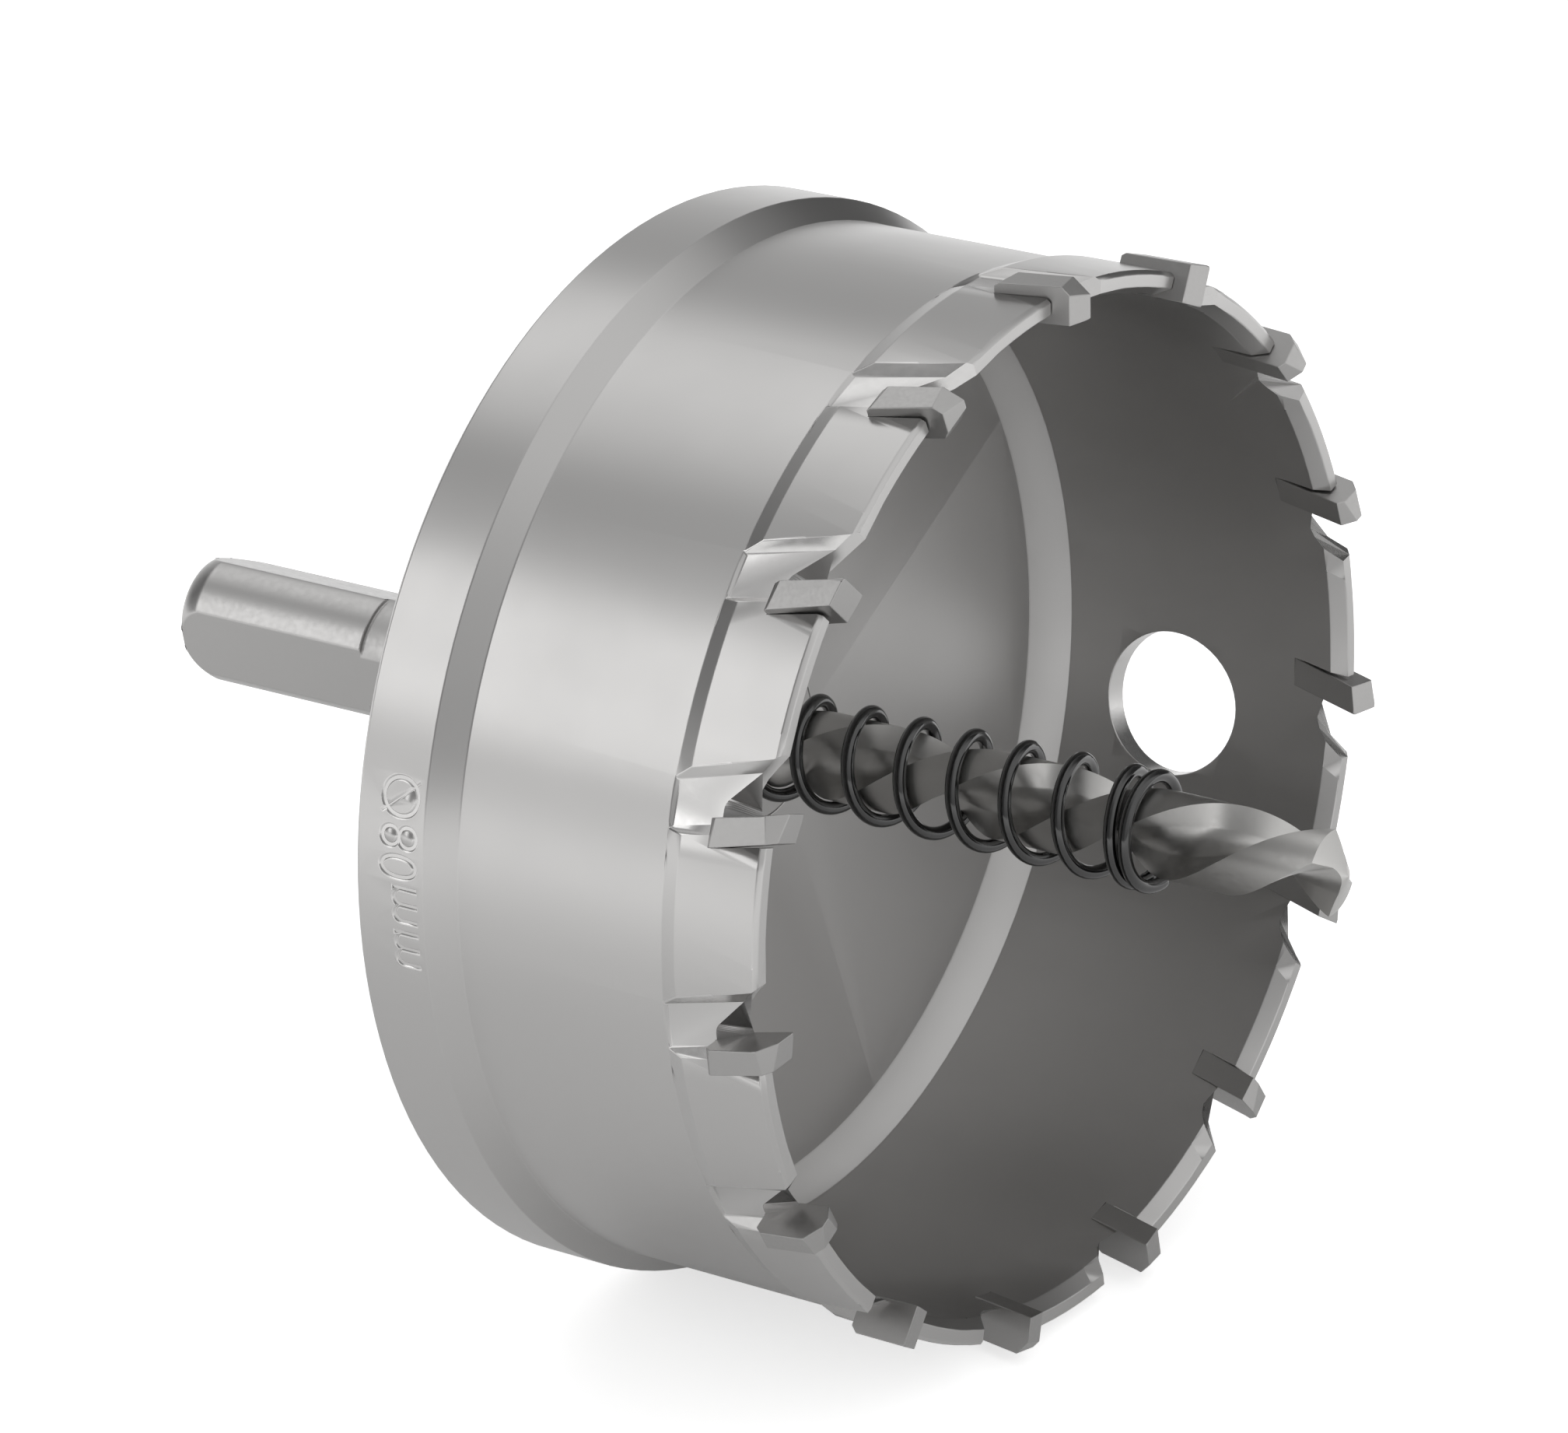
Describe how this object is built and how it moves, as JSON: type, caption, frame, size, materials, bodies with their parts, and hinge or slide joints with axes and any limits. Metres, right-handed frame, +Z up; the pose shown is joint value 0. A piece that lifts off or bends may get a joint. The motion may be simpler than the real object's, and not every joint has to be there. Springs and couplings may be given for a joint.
{
  "type": "hole saw",
  "caption": "Carbide-tipped hole saw: a turned steel cup with a thick flange, brazed tips, a pilot drill, an ejector spring and a shank with three flats.",
  "frame": {"origin": "under the middle of the saw, on the surface that it lies on", "axes": "+X along the saw's axis from the shank to the teeth, +Z up; the saw lies on its side on the flange's edge and the two lowest tips"},
  "size_m": [0.101, 0.0798, 0.0799],
  "materials": {
    "turned_steel": "turned, satin",
    "shank_steel": "ground, satin",
    "high_speed_steel": "ground, bright",
    "black_spring_steel": "black, glossy",
    "black_screw_steel": "black oxide",
    "tungsten_carbide": "ground, grey"
  },
  "bodies": {
    "root": {"cutter_body": "turned_steel", "shank": "shank_steel", "pilot_drill": "high_speed_steel", "ejector_spring": "black_spring_steel", "drill_set_screw": "black_screw_steel", "carbide_tip_01": "tungsten_carbide", "carbide_tip_02": "tungsten_carbide", "carbide_tip_03": "tungsten_carbide", "carbide_tip_04": "tungsten_carbide", "carbide_tip_05": "tungsten_carbide", "carbide_tip_06": "tungsten_carbide", "carbide_tip_07": "tungsten_carbide", "carbide_tip_08": "tungsten_carbide", "carbide_tip_09": "tungsten_carbide", "carbide_tip_10": "tungsten_carbide", "carbide_tip_11": "tungsten_carbide", "carbide_tip_12": "tungsten_carbide", "carbide_tip_13": "tungsten_carbide", "carbide_tip_14": "tungsten_carbide", "carbide_tip_15": "tungsten_carbide"}
  },
  "joints": []
}
